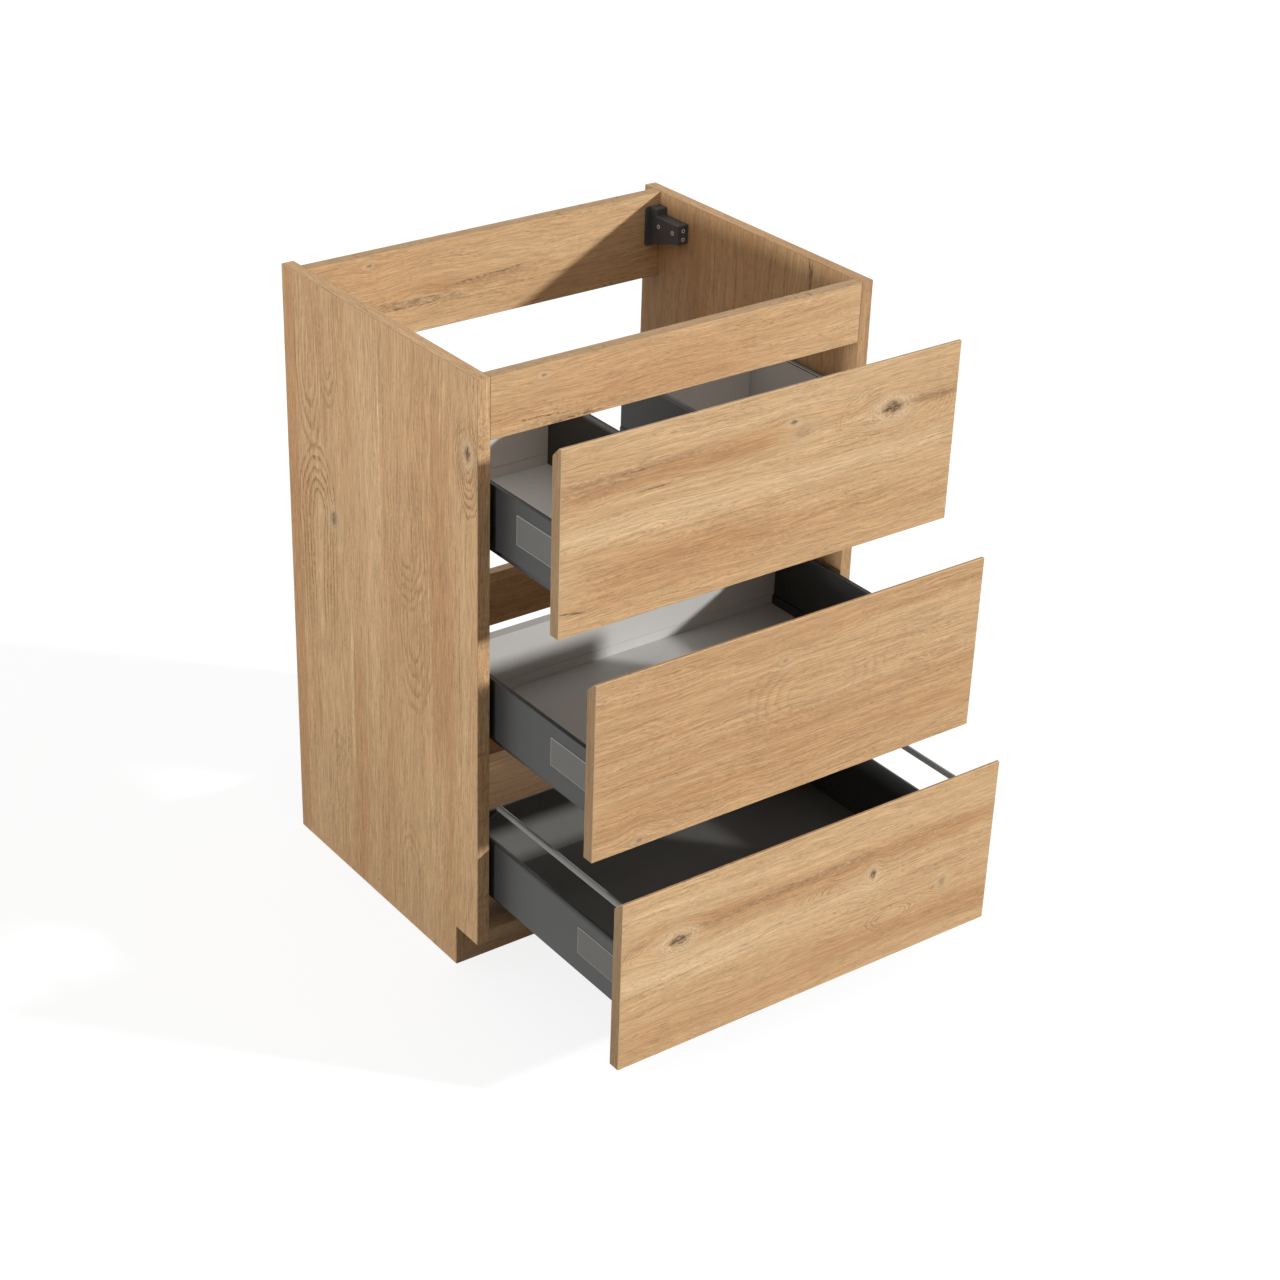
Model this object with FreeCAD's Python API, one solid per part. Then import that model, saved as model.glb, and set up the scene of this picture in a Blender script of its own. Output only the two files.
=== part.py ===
import FreeCAD, Part
import math
import os

os.makedirs("parts", exist_ok=True)

# Under-sink vanity cabinet with three drawers, drawn with the drawers pulled out
# Millimetres, X to the right, Y to the rear, Z up, floor at Z = 0
# The pieces are drawn with the carcass front at Y = 0 and moved back into the shared frame when saved

# Carcass
carcass_width = 600.0
carcass_height = 856.0
carcass_depth = 462.0
panel_thickness = 18.0
rail_thickness = 16.0
toe_kick_depth = 51.0
toe_kick_height = 60.0
board_ease = 0.4
front_rail_height = 81.0
rear_inset = 20.0
rear_top_rail_height = 122.0
rear_middle_rail_bottom = 254.0
rear_rail_height = 84.0
pipe_space = 76.0

# Drawer fronts
drawer_count = 3
front_reveal = 1.0
front_step_gap = 24.1
front_thickness = 17.0
front_top_flat = 4.0
front_ease = 0.6
front_gap = 2.0
front_first_bottom = 58.2
front_top_drop = 25.1
pulled_out_top = 149.5
pulled_out_middle = 226.5
pulled_out_bottom = 291.0

# Drawer boxes, heights above the lower edge of the front
box_length = 357.6
seat = 0.3
side_gap = 7.9
side_thickness = 8.5
side_height = 84.0
side_bottom_upper = 40.0
side_bottom_lower = 66.3
sheet = 1.0
floor_drop = 10.5
foot_width = 3.0
foot_height = 13.5
tongue = 3.0
flange_reach = 12.8
floor_thickness = 16.0
floor_rebate = 13.0
back_thickness = 16.0
back_height = 82.4
back_groove_width = 1.0
back_groove_depth = 0.8
back_groove_height = 14.5
steel_back_thickness = 2.0
steel_back_height = 100.0

# Top of the drawer sides, from the outer face inwards
rim_ease = 0.5
rim_width = 2.6
rim_groove = 1.2
rim_groove_depth = 0.7
rim_slope = 0.3
band_width = 1.7
step_slope = 0.5
step_drop = 1.6
top_web = 2.8

# Cover plates on the drawer sides
plate_start = 14.0
plate_end = 106.5
plate_bottom = 25.5
plate_height = 40.0
plate_thickness = 1.0
plate_recess = 0.5
plate_margin = 0.7
plate_ease = 0.3

# Trap cut-out of the top drawer
cutout_half_width = 54.4
cutout_length = 200.0
cutout_wall_setback = 9.0
cutout_wall_thickness = 12.4
cutout_wall_round = 3.5
cutout_wall_shell = 1.5
cutout_wall_web = 5.0
cutout_rim = 2.2
cutout_groove = 1.8
cutout_foot_height = 21.0
cutout_foot_width = 1.2

# Gallery of the bottom drawer
rod_radius = 4.2
rod_offset = 14.8
rod_height_share = 0.5735
rod_cup_radius = 6.5
rod_cup_length = 12.0
rod_cup_depth = 6.0
rod_arm_width = 7.0
rod_arm_reach = 63.0
rod_arm_foot = 16.0
rod_arm_rear_height = 4.5
rod_arm_neck = 4.0
rod_arm_neck_drop = 2.3
rod_arm_tip_rise = 2.0
rod_arm_tip_drop = 5.5
rod_arm_ease = 0.3
rod_pin_radius = 1.5
rod_pin_length = 8.0
rod_play = 0.05

# Runners
runner_start = 20.0
runner_length = 350.0
runner_sheet = 1.5
runner_drop = 5.5
runner_wall_height = 23.5
runner_leg_inner = 11.2
runner_leg_thickness = 1.2
runner_leg_top = 20.0
member_play = 0.4
member_width = 3.4
member_sheet = 1.2
member_bottom = 3.0
member_top = 19.0
member_length = 330.0
bracket_length = 16.0
bracket_inset = 8.0
bracket_play = 0.6

# Wall hangers, measured from the inner face of the side panel and down from the top
hanger_flange_width = 25.5
hanger_flange_thickness = 2.8
hanger_flange_low_drop = 74.0
hanger_flange_high_drop = 18.0
hanger_corner = 4.0
hanger_width = 18.0
hanger_block_depth = 17.0
hanger_arm_depth = 66.0
hanger_arm_top_drop = 28.5
hanger_arm_low_drop = 56.0
hanger_root_low_drop = 71.0
hanger_root_depth = 7.0
hanger_ease = 0.8
hanger_cavity_near = 3.0
hanger_cavity_far = 11.2
hanger_cavity_low_drop = 53.5
hanger_cavity_high_drop = 30.5
hanger_wall = 4.0
hook_near = 3.3
hook_thickness = 3.0
hook_low_drop = 50.0
hook_high_drop = 34.0
hook_start = 20.0
hook_end_gap = 4.0
hook_nose = 4.0
hook_nose_drop = 6.0
carriage_start = 6.5
carriage_near = 6.6
carriage_thickness = 4.3
carriage_back_gap = 8.0
fixing_front = 12.0
fixing_rear = 43.7
fixing_drop = 41.6
fixing_radius = 2.0
fixing_head_radius = 3.0
fixing_head_height = 0.9
fixing_reach = 9.0
fixing_play = 0.1
height_travel = 3.0
depth_travel = 5.0
slot_play = 0.4
adjuster_inset = 9.0
height_screw_drop = 36.6
depth_screw_drop = 49.1
adjuster_head_radius = 2.9
adjuster_head_height = 1.6
adjuster_head_proud = 0.5
adjuster_shank_radius = 1.5
adjuster_shank_length = 4.2
adjuster_play = 0.05
socket_radius = 1.4
socket_depth = 1.0

half_share = 0.5

# Derived places
inner_x = carcass_width * half_share - panel_thickness
rear_face = carcass_depth - rear_inset
rail_front = rear_face - rail_thickness
bottom_panel_depth = rail_front - pipe_space
arm_front = rail_front - hanger_arm_depth
fronts_height = carcass_height - front_top_drop - front_first_bottom
front_pitch = (fronts_height + front_step_gap) / drawer_count
front_height = front_pitch - front_step_gap
front_half = carcass_width * half_share - front_reveal
pulled_out = {1: pulled_out_top, 2: pulled_out_middle, 3: pulled_out_bottom}
side_bottom = {1: side_bottom_upper, 2: side_bottom_upper, 3: side_bottom_lower}
front_reach = pulled_out_bottom + front_gap + front_thickness
shift_y = (front_reach - carcass_depth) * half_share
front_bevel = front_thickness - front_top_flat

# Heights of the hanger pieces
hanger_flange_low = carcass_height - hanger_flange_low_drop
hanger_flange_high = carcass_height - hanger_flange_high_drop
hanger_arm_top = carcass_height - hanger_arm_top_drop
hanger_arm_low = carcass_height - hanger_arm_low_drop
hanger_root_low = carcass_height - hanger_root_low_drop
hanger_cavity_low = carcass_height - hanger_cavity_low_drop
hanger_cavity_high = carcass_height - hanger_cavity_high_drop
hook_low = carcass_height - hook_low_drop
hook_high = carcass_height - hook_high_drop
fixing_height = carcass_height - fixing_drop
height_screw_z = carcass_height - height_screw_drop
depth_screw_z = carcass_height - depth_screw_drop


def block(x_low, x_high, y_low, y_high, z_low, z_high):
    """Box between two corners."""
    corner = FreeCAD.Vector(x_low, y_low, z_low)
    return Part.makeBox(x_high - x_low, y_high - y_low, z_high - z_low, corner)


def outline_face(items, place):
    """Closed outline: an item is a corner, or the middle and the end of an arc."""
    edges = []
    here = place(*items[0])
    for item in items[1:] + items[:1]:
        if isinstance(item[0], tuple):
            middle, end = place(*item[0]), place(*item[1])
            edges.append(Part.Arc(here, middle, end).toShape())
        else:
            end = place(*item)
            edges.append(Part.LineSegment(here, end).toShape())
        here = end
    return Part.Face(Part.Wire(edges))


def prism_along_x(items, x_low, x_high):
    """Outline in (y, z) carried from x_low to x_high."""
    face = outline_face(items, lambda y, z: FreeCAD.Vector(x_low, y, z))
    return face.extrude(FreeCAD.Vector(x_high - x_low, 0, 0))


def prism_along_y(items, y_low, y_high):
    """Outline in (x, z) carried from y_low to y_high."""
    face = outline_face(items, lambda x, z: FreeCAD.Vector(x, y_low, z))
    return face.extrude(FreeCAD.Vector(0, y_high - y_low, 0))


def bar_along_x(radius, x_low, x_high, y, z):
    """Round bar along X."""
    start = FreeCAD.Vector(x_low, y, z)
    return Part.makeCylinder(radius, x_high - x_low, start, FreeCAD.Vector(1, 0, 0))


def bar_along_y(radius, x, y_low, y_high, z):
    """Round bar along Y."""
    start = FreeCAD.Vector(x, y_low, z)
    return Part.makeCylinder(radius, y_high - y_low, start, FreeCAD.Vector(0, 1, 0))


def hexagon_along(axis, centre, across, length):
    """Six-sided bar along X or Y, for sockets."""
    corners = []
    for step in range(6):
        turn = math.radians(60 * step)
        side = across * math.cos(turn)
        rise = across * math.sin(turn)
        if axis == "x":
            corners.append(centre + FreeCAD.Vector(0, side, rise))
        else:
            corners.append(centre + FreeCAD.Vector(side, 0, rise))
    face = Part.Face(Part.makePolygon(corners + corners[:1]))
    way = FreeCAD.Vector(length, 0, 0) if axis == "x" else FreeCAD.Vector(0, length, 0)
    return face.extrude(way)


def eased(shape, size):
    """Small flat on every edge."""
    return shape.makeChamfer(size, shape.Edges)


def mirrored(shape):
    """Copy on the other side of the middle plane."""
    return shape.mirror(FreeCAD.Vector(0, 0, 0), FreeCAD.Vector(1, 0, 0))


def save(name, *shapes):
    """Move a node into the shared frame and write it."""
    shape = shapes[0] if len(shapes) == 1 else Part.makeCompound(list(shapes))
    shape = shape.copy()
    shape.translate(FreeCAD.Vector(0, shift_y, 0))
    shape.exportStep("parts/" + name + ".step")


def front_base(number):
    """Height of the lower edge of a drawer front."""
    return front_first_bottom + front_pitch * (3 - number)


def box_start(number):
    """Y of the rear face of a drawer front."""
    return -(pulled_out[number] + front_gap)


def skin_low(number):
    """Height of the lower edge of the steel drawer sides."""
    return front_base(number) + side_bottom[number]


# Screw places used by the panels, the hangers and the screws themselves
fixing_places = []
for setback in (fixing_front, fixing_rear):
    fixing_places.append((arm_front + setback, fixing_height))


# Carcass pieces
def side_panel():
    """Left side panel with the toe-kick notch and pilot holes."""
    outline = [(0, toe_kick_height), (0, carcass_height), (carcass_depth, carcass_height)]
    outline += [(carcass_depth, 0), (toe_kick_depth, 0), (toe_kick_depth, toe_kick_height)]
    panel = eased(prism_along_x(outline, -carcass_width * half_share, -inner_x), board_ease)
    hole_radius = fixing_radius + fixing_play
    for y, z in fixing_places:
        panel = panel.cut(bar_along_x(hole_radius, -inner_x - fixing_reach, -inner_x, y, z))
    return panel


def cross_board(y_low, y_high, z_low, z_high):
    """Board between the two side panels."""
    return eased(block(-inner_x, inner_x, y_low, y_high, z_low, z_high), board_ease)


panel_left = side_panel()
save("side_panel_left", panel_left)
save("side_panel_right", mirrored(panel_left))

deck_top = toe_kick_height + panel_thickness
save("bottom_panel", cross_board(0, bottom_panel_depth, toe_kick_height, deck_top))
front_rail_low = carcass_height - front_rail_height
save("front_top_rail", cross_board(0, rail_thickness, front_rail_low, carcass_height))
plinth_rear = toe_kick_depth + rail_thickness
save("plinth_board", cross_board(toe_kick_depth, plinth_rear, 0, toe_kick_height))
rear_plinth_end = bottom_panel_depth + panel_thickness
save("rear_plinth_board", cross_board(bottom_panel_depth, rear_plinth_end, 0, deck_top))

top_rail = cross_board(rail_front, rear_face, carcass_height - rear_top_rail_height, carcass_height)
slot_near = inner_x - hanger_cavity_near
slot_far = inner_x - hanger_cavity_far
slot = block(slot_far, slot_near, rail_front, rear_face, hanger_cavity_low, hanger_cavity_high)
save("rear_top_rail", top_rail.cut(slot).cut(mirrored(slot)))
middle_rail_top = rear_middle_rail_bottom + rear_rail_height
save("rear_middle_rail", cross_board(rail_front, rear_face, rear_middle_rail_bottom, middle_rail_top))
save("rear_lower_rail", cross_board(rail_front, rear_face, 0, rear_rail_height))


# Wall hangers, drawn on the right and mirrored
def beside(near, thickness, y_low, y_high, z_low, z_high):
    """Box measured inwards from the right side panel."""
    return block(inner_x - near - thickness, inner_x - near, y_low, y_high, z_low, z_high)


def rounded_slot(y, z, y_travel, x_low, x_high):
    """Opening that clears a fixing screw while the plate moves."""
    reach = fixing_radius + slot_play
    opening = block(x_low, x_high, y - reach - y_travel, y + reach + y_travel,
                    z - reach - height_travel, z + reach + height_travel)
    along = [edge for edge in opening.Edges if edge.Vertexes[0].X != edge.Vertexes[1].X]
    return opening.makeFillet(fixing_radius, along)


block_front = rail_front - hanger_block_depth
root_front = rail_front - hanger_root_depth
flange_front = rail_front - hanger_flange_thickness


def hanger_housing():
    """Black housing with a flange on the rear rail and an arm on the side panel."""
    outline = [(rail_front, hanger_flange_low), (rail_front, hanger_flange_high)]
    outline += [(block_front, hanger_flange_high), (block_front, hanger_arm_top)]
    outline += [(arm_front, hanger_arm_top), (arm_front, hanger_arm_low)]
    outline += [(root_front, hanger_root_low), (flange_front, hanger_flange_low)]
    body = prism_along_x(outline, inner_x - hanger_width, inner_x)
    body = eased(body, hanger_ease)
    flange = beside(0, hanger_flange_width, flange_front, rail_front,
                    hanger_flange_low, hanger_flange_high)
    edge_x = inner_x - hanger_flange_width
    corners = []
    for edge in flange.Edges:
        if abs(edge.Vertexes[0].X - edge_x) + abs(edge.Vertexes[1].X - edge_x) < board_ease:
            if edge.Vertexes[0].Y != edge.Vertexes[1].Y:
                corners.append(edge)
    body = body.fuse(flange.makeFillet(hanger_corner, corners)).removeSplitter()
    width = hanger_cavity_far - hanger_cavity_near
    cavity = beside(hanger_cavity_near, width, arm_front + hanger_wall, rail_front,
                    hanger_cavity_low, hanger_cavity_high)
    body = body.cut(cavity)
    for y, z in fixing_places:
        hole = bar_along_x(fixing_radius + fixing_play, inner_x - hanger_width, inner_x, y, z)
        body = body.cut(hole)
    axis_x = inner_x - adjuster_inset
    sunk = adjuster_head_height - adjuster_head_proud
    for z in (height_screw_z, depth_screw_z):
        bore = bar_along_y(adjuster_shank_radius + adjuster_play, axis_x, arm_front,
                           arm_front + hanger_wall, z)
        seat_bore = bar_along_y(adjuster_head_radius + adjuster_play, axis_x, arm_front,
                                arm_front + sunk, z)
        body = body.cut(bore).cut(seat_bore)
    return body


def slotted(plate, near, thickness, y_travel):
    """Plate with a slot around each fixing screw."""
    x_low = inner_x - near - thickness
    for y, z in fixing_places:
        slot = rounded_slot(y, z, y_travel, x_low, x_low + thickness)
        plate = plate.cut(slot)
    return plate


def hanger_hook():
    """Slotted steel plate with a nose behind the rear rail."""
    hook_rear = carcass_depth - hook_end_gap
    plate = beside(hook_near, hook_thickness, arm_front + hook_start, hook_rear, hook_low, hook_high)
    nose = beside(hook_near, hook_thickness, hook_rear - hook_nose, hook_rear,
                  hook_low - hook_nose_drop, hook_high)
    plate = plate.fuse(nose).removeSplitter()
    return slotted(plate, hook_near, hook_thickness, depth_travel)


def hanger_carriage():
    """Plate beside the hook that carries it up and down."""
    plate = beside(carriage_near, carriage_thickness, arm_front + carriage_start,
                   rail_front - carriage_back_gap, hook_low, hook_high)
    return slotted(plate, carriage_near, carriage_thickness, 0)


def fixing_screw(y, z):
    """Ring-headed screw through the arm into the side panel."""
    face_x = inner_x - hanger_width
    shank = bar_along_x(fixing_radius, face_x, inner_x + fixing_reach, y, z)
    head = bar_along_x(fixing_head_radius, face_x - fixing_head_height, face_x, y, z)
    centre = FreeCAD.Vector(face_x - fixing_head_height, y, z)
    socket = hexagon_along("x", centre, socket_radius, socket_depth)
    return head.fuse(shank).removeSplitter().cut(socket)


def adjuster(z):
    """Adjusting screw in the front end of the arm."""
    axis_x = inner_x - adjuster_inset
    head_front = arm_front - adjuster_head_proud
    head = bar_along_y(adjuster_head_radius, axis_x, head_front, head_front + adjuster_head_height, z)
    shank = bar_along_y(adjuster_shank_radius, axis_x, head_front, arm_front + adjuster_shank_length, z)
    socket = hexagon_along("y", FreeCAD.Vector(axis_x, head_front, z), socket_radius, socket_depth)
    return head.fuse(shank).removeSplitter().cut(socket)


housing = hanger_housing()
save("hanger_housing_right", housing)
save("hanger_housing_left", mirrored(housing))
hook = hanger_hook()
save("hanger_hook_right", hook)
save("hanger_hook_left", mirrored(hook))
carriage = hanger_carriage()
save("hanger_carriage_right", carriage)
save("hanger_carriage_left", mirrored(carriage))
height_screw = adjuster(height_screw_z)
save("height_screw_right", height_screw)
save("height_screw_left", mirrored(height_screw))
depth_screw = adjuster(depth_screw_z)
save("depth_screw_right", depth_screw)
save("depth_screw_left", mirrored(depth_screw))
fixings = [fixing_screw(y, z) for y, z in fixing_places]
save("hanger_fixings", *(fixings + [mirrored(screw) for screw in fixings]))


# Runners, drawn on the left and mirrored
def from_left(items, reach, z_base):
    """Outline moved to lie reach inwards from the left side panel and z_base up."""
    moved = []
    for item in items:
        if isinstance(item[0], tuple):
            moved.append(tuple(from_left(item, reach, z_base)))
        else:
            moved.append((-inner_x + reach + item[0], z_base + item[1]))
    return moved


def cabinet_rail(number):
    """Bent rail on the side panel whose leg reaches into the hollow drawer side."""
    z_base = skin_low(number)
    leg_outer = runner_leg_inner - runner_leg_thickness
    outline = [(0, -runner_drop), (0, runner_wall_height - runner_drop)]
    outline += [(runner_sheet, runner_wall_height - runner_drop)]
    outline += [(runner_sheet, runner_sheet - runner_drop)]
    outline += [(leg_outer, runner_sheet - runner_drop), (leg_outer, runner_leg_top)]
    outline += [(runner_leg_inner, runner_leg_top), (runner_leg_inner, -runner_drop)]
    return prism_along_y(from_left(outline, 0, z_base), runner_start, runner_start + runner_length)


def middle_member(number):
    """Channel between the rail's leg and the inner wall, half way out with the drawer."""
    upper = member_top - member_sheet
    lower = member_bottom + member_sheet
    outline = [(0, member_bottom), (0, member_top), (member_width, member_top), (member_width, upper)]
    outline += [(member_sheet, upper), (member_sheet, lower), (member_width, lower)]
    outline += [(member_width, member_bottom)]
    placed = from_left(outline, runner_leg_inner + member_play, skin_low(number))
    y_low = runner_start - pulled_out[number] * half_share
    return prism_along_y(placed, y_low, y_low + member_length)


for number in (1, 2, 3):
    rail = cabinet_rail(number)
    save("runner_rail_left_" + str(number), rail)
    save("runner_rail_right_" + str(number), mirrored(rail))
    member = middle_member(number)
    save("runner_members_" + str(number), member, mirrored(member))


# Drawers
def side_top():
    """Top edge of a steel side from the outer face inwards: rim, groove, band and step."""
    top = side_height
    groove_start = rim_width + rim_slope
    band_start = groove_start + rim_groove - rim_slope
    band_end = band_start + rim_slope + band_width
    points = [(0, top - rim_ease), (rim_ease, top), (rim_width, top)]
    points += [(groove_start, top - rim_groove_depth), (band_start, top - rim_groove_depth)]
    points += [(band_start + rim_slope, top), (band_end, top)]
    points += [(band_end + step_slope, top - step_drop)]
    points += [(side_thickness - rim_ease, top - step_drop)]
    points += [(side_thickness, top - step_drop - rim_ease)]
    return points


def side_foot():
    """Foot of a steel side, from the inner wall down, round and up inside."""
    ledge = foot_height - floor_drop
    shelf = -floor_drop - tongue
    inner = side_thickness + foot_width
    points = [(side_thickness, ledge), (inner, ledge), (inner, shelf)]
    points += [(inner + flange_reach, shelf), (inner + flange_reach, shelf - sheet)]
    points += [(inner - sheet, shelf - sheet), (inner - sheet, ledge - sheet)]
    points += [(side_thickness - sheet, ledge - sheet)]
    return points


def drawer_side(number):
    """Left steel side: hollow, open below, with a foot that carries the floor."""
    y_low = box_start(number) + seat
    y_high = box_start(number) + box_length
    z_base = skin_low(number)
    far = side_thickness - sheet
    if number == 3:
        middle = side_thickness * half_share
        crown = side_height - middle
        outline = [(0, 0), (0, crown), ((middle, side_height), (side_thickness, crown))] + side_foot()
        outline += [(far, crown), ((middle, side_height - sheet), (sheet, crown)), (sheet, 0)]
    else:
        outline = [(0, 0)] + side_top() + side_foot()
        outline += [(far, side_height - top_web), (sheet, side_height - top_web), (sheet, 0)]
    side = prism_along_y(from_left(outline, side_gap, z_base), y_low, y_high)
    recess = block(-inner_x + side_gap, -inner_x + side_gap + plate_recess,
                   box_start(number) + plate_start - plate_margin,
                   box_start(number) + plate_end + plate_margin,
                   z_base + plate_bottom - plate_margin,
                   z_base + plate_bottom + plate_height + plate_margin)
    return side.cut(recess)


def cover_plate(number):
    """Bare plate in the recess of a steel side."""
    x_high = -inner_x + side_gap + plate_recess
    plate = block(x_high - plate_thickness, x_high, box_start(number) + plate_start,
                  box_start(number) + plate_end, skin_low(number) + plate_bottom,
                  skin_low(number) + plate_bottom + plate_height)
    return eased(plate, plate_ease)


def front_bracket(number):
    """Block that fixes a steel side to the drawer front, hidden in the side."""
    x_low = -inner_x + side_gap + sheet + bracket_play
    x_high = -inner_x + side_gap + side_thickness - sheet - bracket_play
    z_base = skin_low(number)
    return block(x_low, x_high, box_start(number), box_start(number) + bracket_length,
                 z_base + bracket_inset, z_base + side_height - bracket_inset)


def drawer_front(number):
    """Oak front with the grip bevel behind its top edge."""
    rear_y = box_start(number)
    front_y = rear_y - front_thickness
    low = front_base(number)
    high = low + front_height
    outline = [(front_y, low), (front_y, high), (front_y + front_top_flat, high)]
    outline += [(rear_y, high - front_bevel), (rear_y, low)]
    front = prism_along_x(outline, -front_half, front_half)
    rim = []
    for edge in front.Edges:
        if abs(edge.Vertexes[0].Y - front_y) + abs(edge.Vertexes[1].Y - front_y) < front_ease:
            rim.append(edge)
    return front.makeChamfer(front_ease, rim)


floor_half = inner_x - side_gap - side_thickness - foot_width
floor_core_half = floor_half - floor_rebate


def drawer_floor(number):
    """Board that rests with a tongue on the feet of both sides."""
    y_low = box_start(number) + seat
    y_high = box_start(number) + box_length
    top = skin_low(number) - floor_drop
    low = top - floor_thickness
    outline = [(-floor_half, top), (floor_half, top), (floor_half, top - tongue)]
    outline += [(floor_core_half, top - tongue), (floor_core_half, low), (-floor_core_half, low)]
    outline += [(-floor_core_half, top - tongue), (-floor_half, top - tongue)]
    board = prism_along_y(outline, y_low, y_high)
    if number == 1:
        half_gap = cutout_half_width - cutout_foot_width
        gap_front = y_high - cutout_length + cutout_foot_width
        board = board.cut(block(-half_gap, half_gap, gap_front, y_high, low, top))
    return board


def drawer_back(number, x_low, x_high):
    """Light board across the rear of a drawer, notched round the feet."""
    rear = box_start(number) + box_length
    front = rear - back_thickness
    low = skin_low(number) - floor_drop
    board = eased(block(x_low, x_high, front, rear, low, low + back_height), board_ease)
    groove_low = low + back_groove_height
    groove = block(x_low, x_high, front, front + back_groove_depth,
                   groove_low, groove_low + back_groove_width)
    board = board.cut(groove)
    notch = block(floor_half, inner_x, front, rear, low, low + foot_height)
    return board.cut(notch).cut(mirrored(notch))


def steel_back():
    """Sheet across the rear of the bottom drawer, taller than its sides."""
    rear = box_start(3) + box_length
    low = skin_low(3) - floor_drop
    half_width = inner_x - side_gap - side_thickness
    front = rear - steel_back_thickness
    sheet_back = block(-half_width, half_width, front, rear, low, low + steel_back_height)
    notch = block(floor_half, inner_x, front, rear, low, low + foot_height)
    return sheet_back.cut(notch).cut(mirrored(notch))


def surround_wall(length):
    """Moulded wall along Y with its cut-out face at X = 0 and its foot past that face."""
    top = side_height
    far = cutout_wall_thickness
    low = -floor_drop
    foot_top = cutout_foot_height - floor_drop
    bend = cutout_wall_round
    slant = bend * (1 - math.sqrt(half_share))
    groove_low = top - rim_groove_depth
    outline = [(-cutout_foot_width, low), (-cutout_foot_width, foot_top), (0, foot_top)]
    outline += [(0, top - rim_ease), (rim_ease, top), (cutout_rim, top)]
    outline += [(cutout_rim + rim_slope, groove_low)]
    outline += [(cutout_rim + cutout_groove - rim_slope, groove_low)]
    outline += [(cutout_rim + cutout_groove, top), (far - bend, top)]
    outline += [((far - slant, top - slant), (far, top - bend)), (far, low)]
    wall = prism_along_y(outline, 0, length)
    hollow = block(cutout_wall_shell, far - cutout_wall_shell, cutout_wall_shell,
                   length - cutout_wall_shell, low, top - cutout_wall_web)
    return wall.cut(hollow)


def cutout_side_wall():
    """Wall on the right of the trap cut-out."""
    length = cutout_length + cutout_wall_thickness - cutout_wall_setback
    wall = surround_wall(length)
    y_low = box_start(1) + box_length - cutout_wall_setback - length
    wall.translate(FreeCAD.Vector(cutout_half_width, y_low, skin_low(1)))
    return wall


def cutout_cross_wall(side):
    """Wall across the front end of the trap cut-out, fitted round the feet of the side walls."""
    wall = surround_wall(cutout_half_width * 2)
    wall.rotate(FreeCAD.Vector(0, 0, 0), FreeCAD.Vector(0, 0, 1), -90)
    y_high = box_start(1) + box_length - cutout_length
    wall.translate(FreeCAD.Vector(-cutout_half_width, y_high, skin_low(1)))
    return wall.cut(side).cut(mirrored(side))


for number in (1, 2, 3):
    tag = "_" + str(number)
    save("drawer_front" + tag, drawer_front(number))
    side = drawer_side(number)
    save("drawer_side_left" + tag, side)
    save("drawer_side_right" + tag, mirrored(side))
    save("drawer_floor" + tag, drawer_floor(number))
    plate = cover_plate(number)
    save("cover_plates" + tag, plate, mirrored(plate))
    bracket = front_bracket(number)
    save("front_brackets" + tag, bracket, mirrored(bracket))

wall = cutout_side_wall()
save("cutout_wall_right", wall)
save("cutout_wall_left", mirrored(wall))
save("cutout_cross_wall", cutout_cross_wall(wall))
back_reach = inner_x - side_gap - side_thickness
back_left = drawer_back(1, -back_reach, -cutout_half_width - cutout_wall_thickness)
save("drawer_back_left_1", back_left)
save("drawer_back_right_1", mirrored(back_left))
save("drawer_back_2", drawer_back(2, -back_reach, back_reach))
save("drawer_back_3", steel_back())


# Gallery of the bottom drawer
def gallery_parts():
    """Left rod, its front cup, and the arm that carries its rear end from the drawer back."""
    axis_x = -inner_x + rod_offset
    side_top_z = skin_low(3) + side_height
    axis_z = side_top_z + (front_base(3) + front_height - side_top_z) * rod_height_share
    front_y = box_start(3)
    back_y = front_y + box_length - steel_back_thickness
    cup_end = front_y + rod_cup_length
    rod_front = cup_end - rod_cup_depth
    rod_rear = back_y - rod_arm_reach
    pin_front = rod_rear - rod_pin_length
    cup = bar_along_y(rod_cup_radius, axis_x, front_y, cup_end, axis_z)
    cup = cup.cut(bar_along_y(rod_radius + rod_play, axis_x, rod_front, cup_end, axis_z))
    outline = [(back_y, side_top_z), (back_y, side_top_z + rod_arm_rear_height),
               (rod_rear + rod_arm_neck, axis_z - rod_arm_neck_drop),
               (rod_rear, axis_z + rod_arm_tip_rise), (rod_rear, axis_z - rod_arm_tip_drop),
               (back_y - rod_arm_foot, side_top_z)]
    arm_x = axis_x - rod_arm_width * half_share
    arm = eased(prism_along_x(outline, arm_x, arm_x + rod_arm_width), rod_arm_ease)
    arm = arm.fuse(bar_along_y(rod_pin_radius, axis_x, pin_front, rod_rear + rod_arm_ease, axis_z))
    rod = bar_along_y(rod_radius, axis_x, rod_front, rod_rear - rod_play, axis_z)
    bore = bar_along_y(rod_pin_radius + rod_play, axis_x, pin_front - seat, rod_rear, axis_z)
    return rod.cut(bore), cup, arm


rod, cup, arm = gallery_parts()
save("gallery_rod_left", rod)
save("gallery_rod_right", mirrored(rod))
save("gallery_holders", cup, arm, mirrored(cup), mirrored(arm))
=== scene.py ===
import math

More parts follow.
